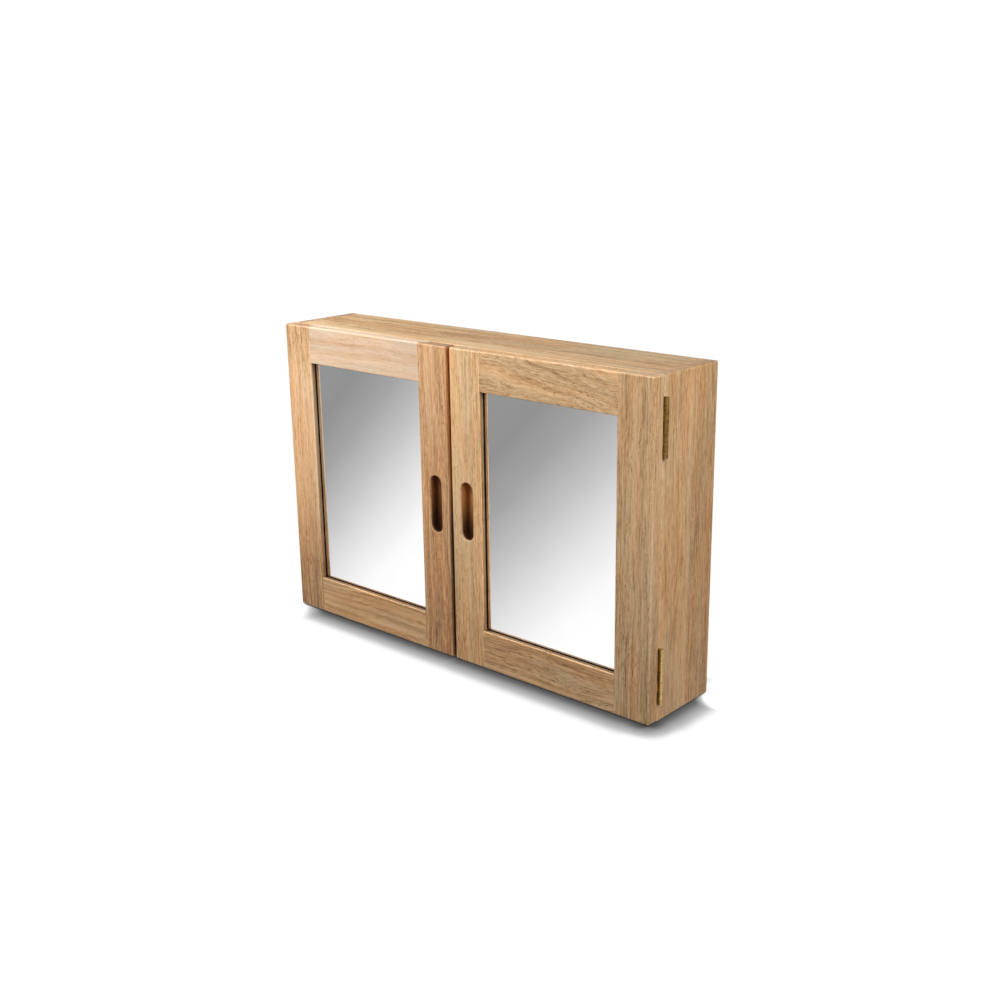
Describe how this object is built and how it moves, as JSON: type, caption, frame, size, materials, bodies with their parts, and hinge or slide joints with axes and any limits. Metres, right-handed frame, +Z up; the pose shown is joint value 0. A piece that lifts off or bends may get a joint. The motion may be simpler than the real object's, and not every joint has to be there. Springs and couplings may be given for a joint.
{
  "type": "mirror cabinet",
  "caption": "Hardwood wall cabinet with framed mirror doors on brass butt hinges, recessed finger pulls, a fixed shelf and magnetic catches.",
  "frame": {"origin": "under the middle of the cabinet's overall box, on the plane that it stands on", "axes": "+X to the right seen from the front, +Y from the doors to the wall, +Z up"},
  "size_m": [0.5824, 0.1142, 0.381],
  "materials": {
    "case_wood": "fine-sanded, thinly oiled, straight grain",
    "door_wood": "fine-sanded, thinly oiled, mixed grain",
    "panel_wood": "plain veneered plywood",
    "mirror_glass": "silvered float glass",
    "backing_board": "hardboard, smooth",
    "brass": "polished, lightly tarnished",
    "steel": "zinc plated",
    "catch_plastic": "brown moulded plastic",
    "magnet_ceramic": "sintered ceramic magnet"
  },
  "bodies": {
    "case": {"back_panel": "panel_wood", "back_panel_pins": "steel", "bottom_board": "case_wood", "cabinet_hinge_screws": "brass", "catch_housing_left": "catch_plastic", "catch_housing_right": "catch_plastic", "catch_magnet_left": "magnet_ceramic", "catch_magnet_right": "magnet_ceramic", "catch_pole_plates_left": "steel", "catch_pole_plates_right": "steel", "catch_screws": "steel", "hanging_rail": "case_wood", "hinge_cabinet_leaf_left_lower": "brass", "hinge_cabinet_leaf_left_upper": "brass", "hinge_cabinet_leaf_right_lower": "brass", "hinge_cabinet_leaf_right_upper": "brass", "hinge_pin_left_lower": "brass", "hinge_pin_left_upper": "brass", "hinge_pin_right_lower": "brass", "hinge_pin_right_upper": "brass", "shelf": "case_wood", "side_board_left": "case_wood", "side_board_right": "case_wood", "top_board": "case_wood"},
    "left_door": {"left_door_bead_bottom": "door_wood", "left_door_bead_hinge_side": "door_wood", "left_door_bead_meeting_side": "door_wood", "left_door_bead_pins": "steel", "left_door_bead_top": "door_wood", "left_door_bottom_rail": "door_wood", "left_door_hinge_leaf_lower": "brass", "left_door_hinge_leaf_upper": "brass", "left_door_hinge_screws": "brass", "left_door_hinge_stile": "door_wood", "left_door_meeting_stile": "door_wood", "left_door_mirror": "mirror_glass", "left_door_mirror_backing": "backing_board", "left_door_strike_plate": "steel", "left_door_strike_screw": "steel", "left_door_top_rail": "door_wood"},
    "right_door": {"right_door_bead_bottom": "door_wood", "right_door_bead_hinge_side": "door_wood", "right_door_bead_meeting_side": "door_wood", "right_door_bead_pins": "steel", "right_door_bead_top": "door_wood", "right_door_bottom_rail": "door_wood", "right_door_hinge_leaf_lower": "brass", "right_door_hinge_leaf_upper": "brass", "right_door_hinge_screws": "brass", "right_door_hinge_stile": "door_wood", "right_door_meeting_stile": "door_wood", "right_door_mirror": "mirror_glass", "right_door_mirror_backing": "backing_board", "right_door_strike_plate": "steel", "right_door_strike_screw": "steel", "right_door_top_rail": "door_wood"}
  },
  "joints": [
    {"name": "left_door_hinge", "type": "hinge", "parent": "case", "child": "left_door", "pos_m": [-0.2886, -0.04085, 0.1905], "axis": [0, 0, -1], "range_deg": [0, 190]},
    {"name": "right_door_hinge", "type": "hinge", "parent": "case", "child": "right_door", "pos_m": [0.2886, -0.04085, 0.1905], "axis": [0, 0, 1], "range_deg": [0, 190]}
  ]
}
